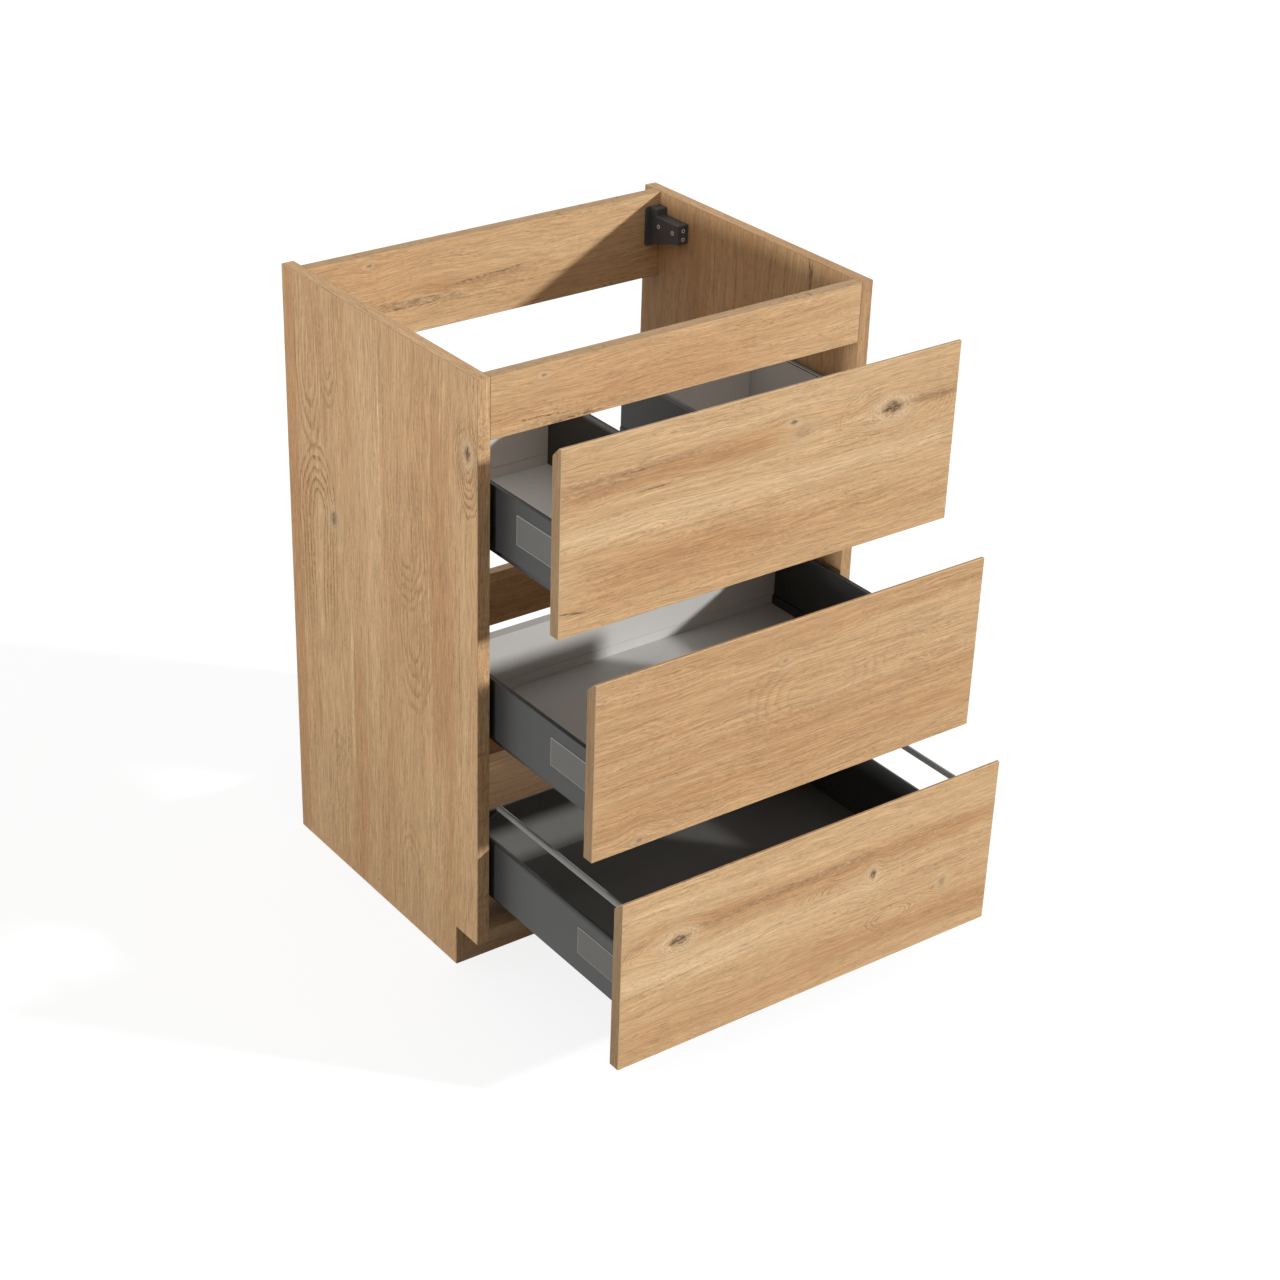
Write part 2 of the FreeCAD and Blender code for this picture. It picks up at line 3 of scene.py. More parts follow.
import bpy
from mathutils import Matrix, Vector


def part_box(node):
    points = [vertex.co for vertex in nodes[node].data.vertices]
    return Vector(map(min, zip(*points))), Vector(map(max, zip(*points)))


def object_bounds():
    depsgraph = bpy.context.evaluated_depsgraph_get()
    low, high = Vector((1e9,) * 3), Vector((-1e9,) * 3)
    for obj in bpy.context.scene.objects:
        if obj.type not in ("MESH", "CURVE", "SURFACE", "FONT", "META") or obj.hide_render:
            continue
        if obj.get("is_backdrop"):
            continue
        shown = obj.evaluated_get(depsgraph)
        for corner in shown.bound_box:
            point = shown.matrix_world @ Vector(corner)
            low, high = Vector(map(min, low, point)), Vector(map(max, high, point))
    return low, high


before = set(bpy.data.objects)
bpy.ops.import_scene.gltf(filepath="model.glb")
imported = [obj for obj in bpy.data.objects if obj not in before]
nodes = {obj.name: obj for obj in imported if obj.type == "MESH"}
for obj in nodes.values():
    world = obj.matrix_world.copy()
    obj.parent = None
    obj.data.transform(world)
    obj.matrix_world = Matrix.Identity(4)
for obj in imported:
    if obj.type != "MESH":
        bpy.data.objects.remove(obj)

cad_low, cad_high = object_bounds()

X, Y, Z = 0, 1, 2
SIDES = ("left", "right")
DRAWERS = (1, 2, 3)
MM = 1000.0

# Camera: at the photograph's place and angle, in metres and degrees, with its lens in mm
CAMERA_PLACE = (-1.78744, -2.35056, 1.99278)
CAMERA_TURN = (61.28464, -0.15084, -33.43467)
CAMERA_LENS = 71.36388
CAMERA_SENSOR = 36.0
CAMERA_SHIFT = (0.116773, 0.005715)
CAMERA_REACH = 100.0

# Lamps: a low key lamp from the front right and a level fill lamp from the left, spread in degrees
KEY_TRAVEL = (-0.66, 0.69, -0.336)
KEY_STRENGTH = 3.15
KEY_SPREAD = 3.0
FILL_TRAVEL = (0.97, 0.02, -0.01)
FILL_STRENGTH = 1.8
FILL_SPREAD = 5.0

# Room: its light at the horizon, its light overhead, and the height in the sky where that is reached
ROOM_LOW = 0.14
ROOM_HIGH = 0.5
ROOM_CHANGE = 0.5

# Floor: its glow to the camera and its own grey, then its half width and its gap below in metres
FLOOR_WHITE = 0.85
FLOOR_PAINT = 0.26
FLOOR_HALF = 25.0
FLOOR_GAP = 0.0005

# Rounded arris of the boards: width in mm, steps, least angle in degrees, and weld reach in metres
ARRIS_WIDTH = 0.5
ARRIS_STEPS = 2
ARRIS_ANGLE = 50.0
WELD_REACH = 0.00001

# Shares of the surface normal: over these, a face looks along an axis or is part of an arris
FACE_SHARE = 0.7
INWARD_SHARE = 0.8
ARRIS_SHARE = 0.2

# Sockets of the mix node while it mixes colours
MIX_SHARE, MIX_FIRST, MIX_SECOND, MIX_RESULT = 0, 6, 7, 2


def paint(red, green, blue):
    """A colour written as screen values from 0 to 255, as the shader wants it."""
    def linear(value):
        value /= 255.0
        return value / 12.92 if value <= 0.04045 else ((value + 0.055) / 1.055) ** 2.4
    return (linear(red), linear(green), linear(blue), 1.0)


class Field:
    """A value that varies over a surface, so that patterns can be written as sums."""

    def __init__(self, tree, socket):
        self.tree = tree
        self.socket = socket

    def math(self, operation, *others):
        node = self.tree.nodes.new("ShaderNodeMath")
        node.operation = operation
        for socket, value in zip(node.inputs, (self,) + others):
            feed(self.tree, socket, value)
        return Field(self.tree, node.outputs[0])

    def __add__(self, other):
        return self.math("ADD", other)

    def __radd__(self, other):
        return self.math("ADD", other)

    def __sub__(self, other):
        return self.math("SUBTRACT", other)

    def __rsub__(self, other):
        return (self * -1.0).math("ADD", other)

    def __mul__(self, other):
        return self.math("MULTIPLY", other)

    def __truediv__(self, other):
        return self.math("DIVIDE", other)

    def power(self, other):
        return self.math("POWER", other)

    def exponent(self):
        return self.math("EXPONENT")

    def fraction(self):
        return self.math("FRACT")

    def size(self):
        return self.math("ABSOLUTE")

    def over(self, other):
        """Is 1 where the value is more than the other, and 0 elsewhere."""
        return self.math("GREATER_THAN", other)

    def most(self, other):
        return self.math("MAXIMUM", other)

    def least(self, other):
        return self.math("MINIMUM", other)

    def step(self, start, end):
        """Turns smoothly from 0 at start to 1 at end, whichever of them is the lower."""
        node = self.tree.nodes.new("ShaderNodeMapRange")
        node.interpolation_type = "SMOOTHSTEP"
        feed(self.tree, node.inputs["Value"], self)
        node.inputs["From Min"].default_value = min(start, end)
        node.inputs["From Max"].default_value = max(start, end)
        node.inputs["To Min"].default_value = 0.0 if start < end else 1.0
        node.inputs["To Max"].default_value = 1.0 if start < end else 0.0
        return Field(self.tree, node.outputs["Result"])

    def hill(self, middle, reach):
        """Is 1 at middle and falls smoothly to 0 at reach from it."""
        return (self - middle).size().step(reach, 0.0)


def feed(tree, socket, value):
    """Gives a socket a number, a colour or another field."""
    if isinstance(value, Field):
        tree.links.new(value.socket, socket)
    else:
        socket.default_value = value


def blend_values(share, first, second):
    """The first value where share is 0 and the second where it is 1."""
    return first + (second - first) * share


def distance(first, second):
    """How far away a place is, from its two offsets."""
    return (first * first + second * second).power(0.5)


def strokes(phase, start, dark, end):
    """One stroke in each whole step of phase. It darkens from start to dark and fades after end."""
    share = phase.fraction()
    return share.step(start, dark) * share.step(1.0, end)


def stretch(u, start, end, outside, inside):
    """Is 1 between start and end, and its soft ends reach that far outside and inside them."""
    return u.step(start - outside, start + inside) * u.step(end + outside, end - inside)


class Material:
    """A material under construction: its tree, its shader and its place in mm."""

    def __init__(self, name, **settings):
        self.material = bpy.data.materials.new(name)
        self.material.use_nodes = True
        self.tree = self.material.node_tree
        self.shader = self.tree.nodes["Principled BSDF"]
        for key, value in settings.items():
            self.shader.inputs[key.replace("_", " ")].default_value = value
        here = self.tree.nodes.new("ShaderNodeTexCoord")
        self.place = self.split(here.outputs["Object"], MM)
        self.x, self.y, self.z = self.place
        self.facing = self.split(here.outputs["Normal"], 1.0)

    def split(self, socket, factor):
        node = self.tree.nodes.new("ShaderNodeSeparateXYZ")
        self.tree.links.new(socket, node.inputs[0])
        return [Field(self.tree, out) * factor for out in node.outputs]

    def texture(self, kind, x, y, z, **settings):
        """A texture node over a place given in its own cells."""
        here = self.tree.nodes.new("ShaderNodeCombineXYZ")
        for socket, value in zip(here.inputs, (x, y, z)):
            feed(self.tree, socket, value)
        node = self.tree.nodes.new(kind)
        node.inputs["Scale"].default_value = 1.0
        for key, value in settings.items():
            node.inputs[key].default_value = value
        self.tree.links.new(here.outputs[0], node.inputs["Vector"])
        return node

    def noise(self, x, y, z, detail, rough=0.5, turn=0.0):
        """Smooth noise from about 0 to 1 over a place given in its own cells."""
        node = self.texture("ShaderNodeTexNoise", x, y, z, Detail=detail, Roughness=rough, Distortion=turn)
        return Field(self.tree, node.outputs["Fac"])

    def pattern(self, lengths, detail, rough, turn=0.0):
        """Noise whose cells have these lengths in mm along X, Y and Z."""
        x, y, z = [value / length for value, length in zip(self.place, lengths)]
        return self.noise(x, y, z, detail, rough, turn)

    def cells(self, size):
        """A value for each cell of a scatter of cells of that size in mm."""
        node = self.texture("ShaderNodeTexVoronoi", *[value / size for value in self.place])
        parts = self.tree.nodes.new("ShaderNodeSeparateColor")
        self.tree.links.new(node.outputs["Color"], parts.inputs[0])
        return Field(self.tree, parts.outputs[0])

    def faces(self, axis):
        """Is 1 on the faces that look along an axis, either way."""
        return self.facing[axis].size().over(FACE_SHARE)

    def arrises(self):
        """Is 1 on the rounded arrises between two faces."""
        x, y, z = [value.size() for value in self.facing]
        return (x * y + y * z + x * z).over(ARRIS_SHARE)

    def mix(self, share, first, second):
        """Two colours mixed by a share from 0 to 1."""
        node = self.tree.nodes.new("ShaderNodeMix")
        node.data_type = "RGBA"
        node.clamp_factor = True
        feed(self.tree, node.inputs[MIX_SHARE], share)
        feed(self.tree, node.inputs[MIX_FIRST], first)
        feed(self.tree, node.inputs[MIX_SECOND], second)
        return Field(self.tree, node.outputs[MIX_RESULT])

    def shade(self, colour, factor):
        """A colour times a factor."""
        node = self.tree.nodes.new("ShaderNodeVectorMath")
        node.operation = "SCALE"
        feed(self.tree, node.inputs[0], colour)
        feed(self.tree, node.inputs["Scale"], factor)
        return Field(self.tree, node.outputs["Vector"])

    def finish(self, colour, rough, height, depth):
        """Joins colour, roughness and a bump of that depth in mm to the shader."""
        feed(self.tree, self.shader.inputs["Base Color"], colour)
        feed(self.tree, self.shader.inputs["Roughness"], rough)
        bump = self.tree.nodes.new("ShaderNodeBump")
        bump.inputs["Distance"].default_value = depth / MM
        feed(self.tree, bump.inputs["Height"], height)
        self.tree.links.new(bump.outputs["Normal"], self.shader.inputs["Normal"])
        return self.material


def set_finish(material, *names):
    """Gives a material to every slot of the named nodes."""
    for name in names:
        for slot in nodes[name].material_slots:
            slot.material = material


# Oak decor: light, middle and red wood, growth lines, grey streaks, pale flecks, knots and cracks; the pale
# and the grey also colour the arrises, as a painted highlight on the fronts and as a line that is partly
# painted shade on the other boards
OAK_LIGHT = paint(224, 192, 150)
OAK_MIDDLE = paint(205, 168, 125)
OAK_RED = paint(188, 145, 102)
OAK_LINE = paint(134, 94, 58)
OAK_GREY = paint(140, 114, 86)
OAK_PALE = paint(232, 205, 166)
OAK_KNOT = paint(104, 80, 58)
OAK_CRACK = paint(78, 60, 46)
OAK_GLOSS = 0.25
OAK_ROUGH = 0.58
OAK_BUMP = 0.14


class Oak(Material):
    """Oak on one board. In mm, u runs along its grain, v across it and depth through the board.

    What these are divided by, in each noise, is the length of its cells in mm that way.
    """

    def __init__(self, name, along, across, seed, knots):
        """Along and across are (axis, sign, start in m), and u and v run from there."""
        super().__init__("oak_" + name, IOR=1.45, Specular_IOR_Level=OAK_GLOSS)
        board_u, board_v = [(self.place[axis] - start * MM) * sign
                            for axis, sign, start in (along, across)]
        depth = self.place[X + Y + Z - along[0] - across[0]]
        self.end = self.faces(along[0])
        self.edge = self.faces(across[0])
        u = blend_values(self.end, board_u, board_v)
        v = blend_values(self.end, board_v, depth)
        self.u, self.v, self.depth, self.seed = u, v, depth, seed

        self.wander = self.noise(u / 240.0 + seed, v / 70.0, depth / 70.0, 3.0, 0.5) - 0.5
        self.ripple = self.noise(u / 60.0, v / 22.0 + seed, depth / 40.0, 2.0, 0.55) - 0.5
        self.tremble = self.noise(u / 9.0 + seed, v / 7.0, depth / 20.0, 2.0, 0.6) - 0.5
        self.grain = self.parted(v + self.wander * 30.0 + self.ripple * 5.0, knots)
        self.fibre = self.noise(u / 85.0, self.grain / 2.4, depth / 2.0 + seed, 4.0, 0.72)
        self.hair = self.noise(u / 34.0 + seed, self.grain / 1.05, depth / 1.0, 2.0, 0.65)

    def parted(self, grain, knots):
        """The grain, pushed aside round each knot."""
        for knot_u, knot_v, half_u, half_v, _, reach in knots:
            du = (self.u - knot_u) / (half_u * reach)
            dv = (self.v - knot_v) / (half_v * reach)
            near = ((du * du + dv * dv) * -0.7).exponent()
            grain = grain - (self.v - knot_v) * near * 0.85
        return grain

    def wood(self, tone, bands, joints):
        """The wood's colour: long bands of lighter yellow and darker red wood."""
        u, v, depth, grain, seed = self.u, self.v, self.depth, self.grain, self.seed
        broad = self.noise(u / 620.0 + seed, grain / 46.0, depth / 60.0, 3.0, 0.55)
        narrow = self.noise(u / 260.0, grain / 9.0 + seed, depth / 12.0, 3.0, 0.6)
        level = broad - 0.5 + (narrow - 0.5) * 0.9 + tone
        for band_v, reach, from_u, to_u, amount in bands:
            near = (v + self.wander * 10.0 + self.ripple * 3.0).hill(band_v, reach)
            level = level + near * stretch(u, from_u, to_u, 60.0, 30.0) * amount * 0.7
        for joint_v, side, from_u, to_u, amount in joints:
            beside = (v - joint_v) * side
            strip = beside.step(-0.6, 0.6) * beside.step(70.0, 5.0)
            level = level + strip * stretch(u, from_u, to_u, 30.0, 60.0) * amount
        colour = self.mix(level.step(-0.6, 0.15), OAK_RED, OAK_MIDDLE)
        return self.mix(level.step(0.0, 0.75), colour, OAK_LIGHT)

    def silk(self):
        """Fine fibres along the grain and short mottling across it, light above 0 and dark below."""
        u, v, depth, seed = self.u, self.v, self.depth, self.seed
        thread = self.noise(u / 130.0 + seed, self.grain / 5.0, depth / 4.0, 3.0, 0.65)
        mottle = self.noise(u / 7.0, v / 2.0 + seed, depth / 3.0, 3.0, 0.65)
        rough_zone = self.noise(u / 190.0 + seed, v / 60.0, 4.0, 2.0, 0.5).step(0.4, 0.62)
        silk = (self.fibre - 0.5) * 0.8 + (self.hair - 0.5) * 1.1 + (thread - 0.5) * 0.26
        return silk + (mottle - 0.5) * (rough_zone * 0.36 + 0.08)

    def growth_lines(self, figure, arcs, arches):
        """Dark thin rings drawn by rows of pores, with arcs and arches where the board has them."""
        u, v, seed = self.u, self.v, self.seed
        wander, ripple, tremble = self.wander, self.ripple, self.tremble
        drift = self.noise(self.grain / 30.0, seed, 0.0, 1.0) * 2.0
        ring = strokes(self.grain / 8.0 + wander * 1.6 + tremble * 0.25 + drift, 0.55, 0.9, 0.94)
        show = self.noise(u / 150.0, v / 40.0, seed + 3.0, 2.0, 0.5)
        show = show.step(0.62 - 0.25 * figure, 0.8 - 0.22 * figure)
        broken = self.noise(u / 9.0, v / 2.4, seed, 2.0, 0.7).step(0.42, 0.56)
        worn = self.noise(u / 46.0, v / 17.0 + seed, seed + 7.0, 2.0, 0.6)
        worn = worn.step(0.3, 0.54) * 0.75 + 0.25
        lines = ring * show * broken * 0.5
        for arc_u, arc_v, reach_u, reach_v, inner, outer, count, side_u, side_v, amount in arcs:
            du = (u - arc_u) / reach_u
            dv = (v - arc_v) / reach_v
            away = distance(du, dv) + ripple * 0.42 + tremble * 0.12 + wander * 0.4
            window = away.step(inner - 0.06, inner + 0.06) * away.step(outer + 0.12, outer - 0.12) * worn
            for offset, side in ((du, side_u), (dv, side_v)):
                if side:
                    window = window * (offset * side).step(-0.15, 0.2)
            stroke = strokes(away * count, 0.45, 0.88, 0.93)
            stroke = stroke * window * (broken * 0.6 + 0.4) * amount * 1.6
            lines = (lines * (1.0 - window * 0.9)).most(stroke)
        for tip_u, tip_v, head, half, length, count, side, amount in arches:
            du = (u - tip_u) * side + head + ripple * 26.0 + wander * 34.0 + tremble * 3.0
            dv = (v - tip_v + ripple * 9.0 + wander * 18.0 + tremble * 1.6) / half
            nose = du.most(0.0) / head
            away = distance(nose, dv) + du.least(0.0).size() / (length * 6.0)
            window = away.step(0.12, 0.3) * away.step(1.2, 0.85) * du.step(-length, -length * 0.3)
            stroke = strokes(away * count, 0.35, 0.88, 0.92)
            stroke = stroke * window * (worn * 0.75 + 0.25) * (broken * 0.65 + 0.35) * amount
            lines = lines.most(stroke)
        return lines * (1.0 - self.edge * 0.85)

    def pores(self):
        """Short dark dashes along the grain, in patches."""
        u, grain, seed = self.u, self.grain, self.seed
        dashes = self.noise(u / 9.0, grain / 1.4, seed, 1.0, 0.5).step(0.58, 0.7)
        patch = self.noise(u / 170.0, grain / 16.0 + seed, 5.0, 2.0, 0.5).step(0.38, 0.66)
        return dashes * (patch * 0.8 + 0.2)

    def flecks(self):
        """Light flecks across the grain, in patches."""
        u, v, seed = self.u, self.v, self.seed
        fleck = self.noise(u / 5.5, v / 2.0 + seed, self.depth / 3.0, 2.0, 0.6).step(0.56, 0.7)
        return fleck * self.noise(u / 260.0 + seed, v / 55.0, 9.0, 1.0).step(0.42, 0.62)

    def streaked(self, colour, streaks):
        """The colour with long grey or dark runs and thin cracks."""
        u, v, seed = self.u, self.v, self.seed
        for streak_v, reach, from_u, to_u, amount, slope in streaks:
            off = v - streak_v - (u - from_u) * slope + self.ripple * (reach * 0.8 + 2.0)
            off = off + self.tremble * 1.6
            dash = self.noise(u / 9.0, v / 2.4, seed + 2.0, 3.0, 0.7).step(0.38, 0.6)
            shape = off.size().step(reach, reach * 0.25) * stretch(u, from_u, to_u, 12.0, 12.0) * dash
            thin = OAK_CRACK if amount > 0.65 else OAK_LINE
            colour = self.mix(shape * amount * 0.9, colour, thin if reach < 2.0 else OAK_GREY)
        return colour

    def knotted(self, colour, knots):
        """The colour with knots: a pale eye, rings round it and a dark split core."""
        u, v, seed = self.u, self.v, self.seed
        for knot_u, knot_v, half_u, half_v, dark, _ in knots:
            fray = self.noise(u / (half_u * 0.8), v / (half_v * 0.8), seed, 4.0, 0.7) - 0.5
            du = (u - knot_u) / half_u
            dv = (v - knot_v) / half_v
            away = distance(du, dv) + fray * 1.3
            colour = self.mix(away.step(3.6, 1.4) * 0.55 * dark, colour, OAK_PALE)
            swirl = strokes(away * 2.2 + fray * 2.0, 0.4, 0.85, 0.9)
            swirl = swirl * away.step(3.6, 1.8) * away.step(0.8, 1.3)
            colour = self.mix(swirl * 0.5 * dark, colour, OAK_LINE)
            stain = self.noise(u / (half_u * 0.45), v / (half_v * 0.5), seed + 1.0, 3.0, 0.7)
            stain = stain.step(0.34, 0.62)
            colour = self.mix(away.step(1.8, 0.6) * (stain * 0.6 + 0.25) * dark, colour, OAK_GREY)
            colour = self.mix(away.step(1.15, 0.5) * (stain * 0.6 + 0.35) * dark, colour, OAK_KNOT)
            split = (dv + fray * 1.6 + du * 0.2).size().step(0.26, 0.06) * away.step(1.4, 0.8)
            colour = self.mix(split * dark * 0.85, colour, OAK_CRACK)
        return colour


def oak(name, along, across, seed, knots=(), arcs=(), arches=(), bands=(), streaks=(), joints=(),
        figure=0.5, tone=0.0, end_shade=1.0, edge_shade=0.84, vivid=1.0, arris_paint=OAK_GREY):
    """One oak board with its features.

    Figure brings out the growth lines, tone lightens the wood and vivid strengthens the fibres.
    The end and edge shade darken or lighten the faces that look along u and along v, partly for the edge
    banding's own colour and partly as painted light and shade on those faces.
    """
    m = Oak(name, along, across, seed, knots)
    colour = m.shade(m.wood(tone, bands, joints), 1.0 + m.silk() * vivid)
    lines = m.growth_lines(figure, arcs, arches)
    colour = m.mix(lines, colour, OAK_LINE)
    pores = m.pores()
    colour = m.mix(pores * 0.42, colour, OAK_LINE)
    colour = m.mix(m.flecks() * 0.3, colour, OAK_PALE)
    colour = m.knotted(m.streaked(colour, streaks), knots)
    colour = m.shade(colour, 1.0 - m.end * (1.0 - end_shade) - m.edge * (1.0 - edge_shade))
    # Painted light on the arrises: pale on the drawer fronts as a painted highlight, and grey elsewhere as
    # a line that is partly painted shade in the joints
    colour = m.mix(m.arrises() * 0.6, colour, arris_paint)
    height = m.fibre * 0.5 + m.hair * 0.25 - pores * 0.8 - lines * 0.4
    rough = OAK_ROUGH + (m.fibre - 0.5) * 0.2 + pores * 0.1
    return m.finish(colour, rough, height, OAK_BUMP)


# How a board lies: the axis and sense of u, which runs along its grain, and of v across it
FLAT = ((X, 1.0), (Z, -1.0))
UPRIGHT = ((Z, -1.0), (Y, -1.0))
LEVEL = ((X, 1.0), (Y, -1.0))


def board(name, lie, seed, **features):
    """Dresses a node in oak, with u and v measured from the corner where they start."""
    low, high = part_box(name)
    along, across = [(axis, sign, low[axis] if sign > 0.0 else high[axis]) for axis, sign in lie]
    set_finish(oak(name, along, across, seed, **features), name)


# Features, in mm of u and v. A knot: u, v, half length, half height, darkness, reach of the parted grain
# An arc: u, v, reach in u and in v, inner and outer share, lines, side in u and in v, strength
# An arch: u and v of its tip, length of its head, half width, length of its legs, lines, side, strength
# A band: v, reach, start, end, lighter or darker. A joint: v, side, start, end, lighter or darker
# A streak: v, reach, start, end, strength, slope

# The narrow ends of the drawer fronts keep this share of the light that their faces give back
FRONT_SHADE = 0.56

board("drawer_front_1", FLAT, 11.3, figure=0.2, tone=0.06, end_shade=FRONT_SHADE, arris_paint=OAK_PALE,
      knots=((492.0, 65.0, 14.0, 7.5, 0.9, 2.8), (337.0, 47.0, 5.0, 2.6, 0.85, 4.5),
             (352.0, 64.0, 13.0, 7.0, 0.2, 1.2)),
      arcs=((476.0, 72.0, 60.0, 36.0, 0.75, 1.25, 9.0, -1, -1, 0.3),
            (520.0, 60.0, 66.0, 34.0, 0.7, 1.3, 9.0, 1, 1, 0.25)),
      bands=((62.0, 30.0, 0.0, 300.0, -0.85), (120.0, 26.0, 0.0, 598.0, 0.65),
             (190.0, 50.0, 60.0, 598.0, -0.45), (15.0, 25.0, 100.0, 500.0, 0.2),
             (64.0, 12.0, 500.0, 598.0, -0.8)),
      streaks=((63.0, 6.0, 510.0, 598.0, 0.8, 0.0), (52.0, 1.5, 84.0, 124.0, 0.95, 0.02),
               (80.0, 1.4, 108.0, 152.0, 0.85, 0.0), (209.0, 1.7, 0.0, 38.0, 0.95, 0.14),
               (60.0, 8.0, 0.0, 110.0, 0.55, -0.02), (50.0, 6.0, 10.0, 200.0, 0.5, 0.0),
               (124.0, 1.2, 530.0, 598.0, 0.55, -0.09), (131.0, 1.2, 520.0, 598.0, 0.5, -0.07),
               (119.0, 1.0, 500.0, 560.0, 0.4, 0.02), (43.0, 1.0, 40.0, 150.0, 0.45, 0.0),
               (148.0, 3.0, 290.0, 470.0, 0.3, 0.0)),
      joints=((141.0, 1.0, 0.0, 330.0, -0.35),))
board("drawer_front_2", FLAT, 23.9, figure=0.55, tone=-0.12, end_shade=FRONT_SHADE, arris_paint=OAK_PALE,
      knots=((70.0, 233.0, 5.0, 4.0, 0.35, 4.0), (281.0, 52.0, 4.0, 3.0, 0.3, 3.0)),
      arches=((218.0, 104.0, 100.0, 64.0, 190.0, 6.0, -1, 0.26),
              (118.0, 92.0, 70.0, 26.0, 120.0, 4.0, 1, 0.3),
              (392.0, 96.0, 70.0, 52.0, 150.0, 5.0, -1, 0.22),
              (290.0, 50.0, 26.0, 12.0, 60.0, 3.0, 1, 0.24),
              (250.0, 182.0, 130.0, 34.0, 250.0, 4.0, 1, 0.22)),
      bands=((37.0, 6.0, 370.0, 598.0, 0.4), (60.0, 40.0, 300.0, 560.0, 0.15),),
      streaks=((228.0, 1.3, 325.0, 450.0, 0.65, -0.02), (205.0, 1.2, 300.0, 410.0, 0.55, -0.08),
               (233.0, 1.1, 300.0, 350.0, 0.5, -0.02), (16.0, 1.1, 90.0, 190.0, 0.4, -0.02),
               (225.0, 1.2, 520.0, 598.0, 0.55, -0.26), (233.0, 1.2, 540.0, 598.0, 0.5, -0.3),
               (218.0, 1.0, 530.0, 598.0, 0.4, -0.22), (192.0, 1.4, 350.0, 470.0, 0.45, 0.0),
               (8.0, 1.2, 420.0, 520.0, 0.45, -0.03), (137.0, 1.3, 0.0, 75.0, 0.6, 0.14),
               (146.0, 1.1, 0.0, 60.0, 0.5, 0.1), (152.0, 1.1, 10.0, 90.0, 0.4, 0.05)),
      joints=((166.0, 1.0, 0.0, 598.0, -0.22),))
board("drawer_front_3", FLAT, 31.7, figure=0.25, tone=0.04, end_shade=FRONT_SHADE, arris_paint=OAK_PALE,
      knots=((86.0, 81.0, 14.0, 7.5, 0.85, 2.8), (394.0, 99.0, 4.6, 6.6, 0.85, 2.6),
             (517.0, 154.0, 6.0, 6.5, 0.35, 2.4)),
      arcs=((70.0, 88.0, 60.0, 36.0, 0.75, 1.25, 9.0, -1, -1, 0.3),
            (390.0, 104.0, 90.0, 26.0, 0.6, 1.3, 8.0, -1, -1, 0.28),
            (432.0, 176.0, 44.0, 18.0, 0.4, 1.1, 5.0, 0, 0, 0.3)),
      bands=((70.0, 24.0, 120.0, 598.0, -0.75), (125.0, 34.0, 0.0, 400.0, 0.5),
             (205.0, 45.0, 0.0, 598.0, -0.45), (30.0, 34.0, 0.0, 598.0, 0.2),
             (176.0, 22.0, 395.0, 475.0, 0.4), (185.0, 50.0, 300.0, 598.0, -0.25)),
      streaks=((74.0, 7.0, 110.0, 260.0, 0.7, -0.03), (69.0, 7.0, 250.0, 400.0, 0.75, -0.02),
               (119.0, 1.5, 230.0, 360.0, 0.6, -0.07), (125.0, 1.0, 240.0, 310.0, 0.5, -0.04),
               (104.0, 1.3, 415.0, 470.0, 0.65, 0.0), (141.0, 1.3, 0.0, 220.0, 0.6, -0.07),
               (147.0, 1.0, 10.0, 200.0, 0.45, -0.07), (178.0, 1.2, 392.0, 420.0, 0.55, 0.25),
               (62.0, 2.6, 440.0, 598.0, 0.4, 0.0), (8.0, 1.0, 60.0, 150.0, 0.5, 0.0),
               (218.0, 1.0, 540.0, 598.0, 0.6, 0.06)))
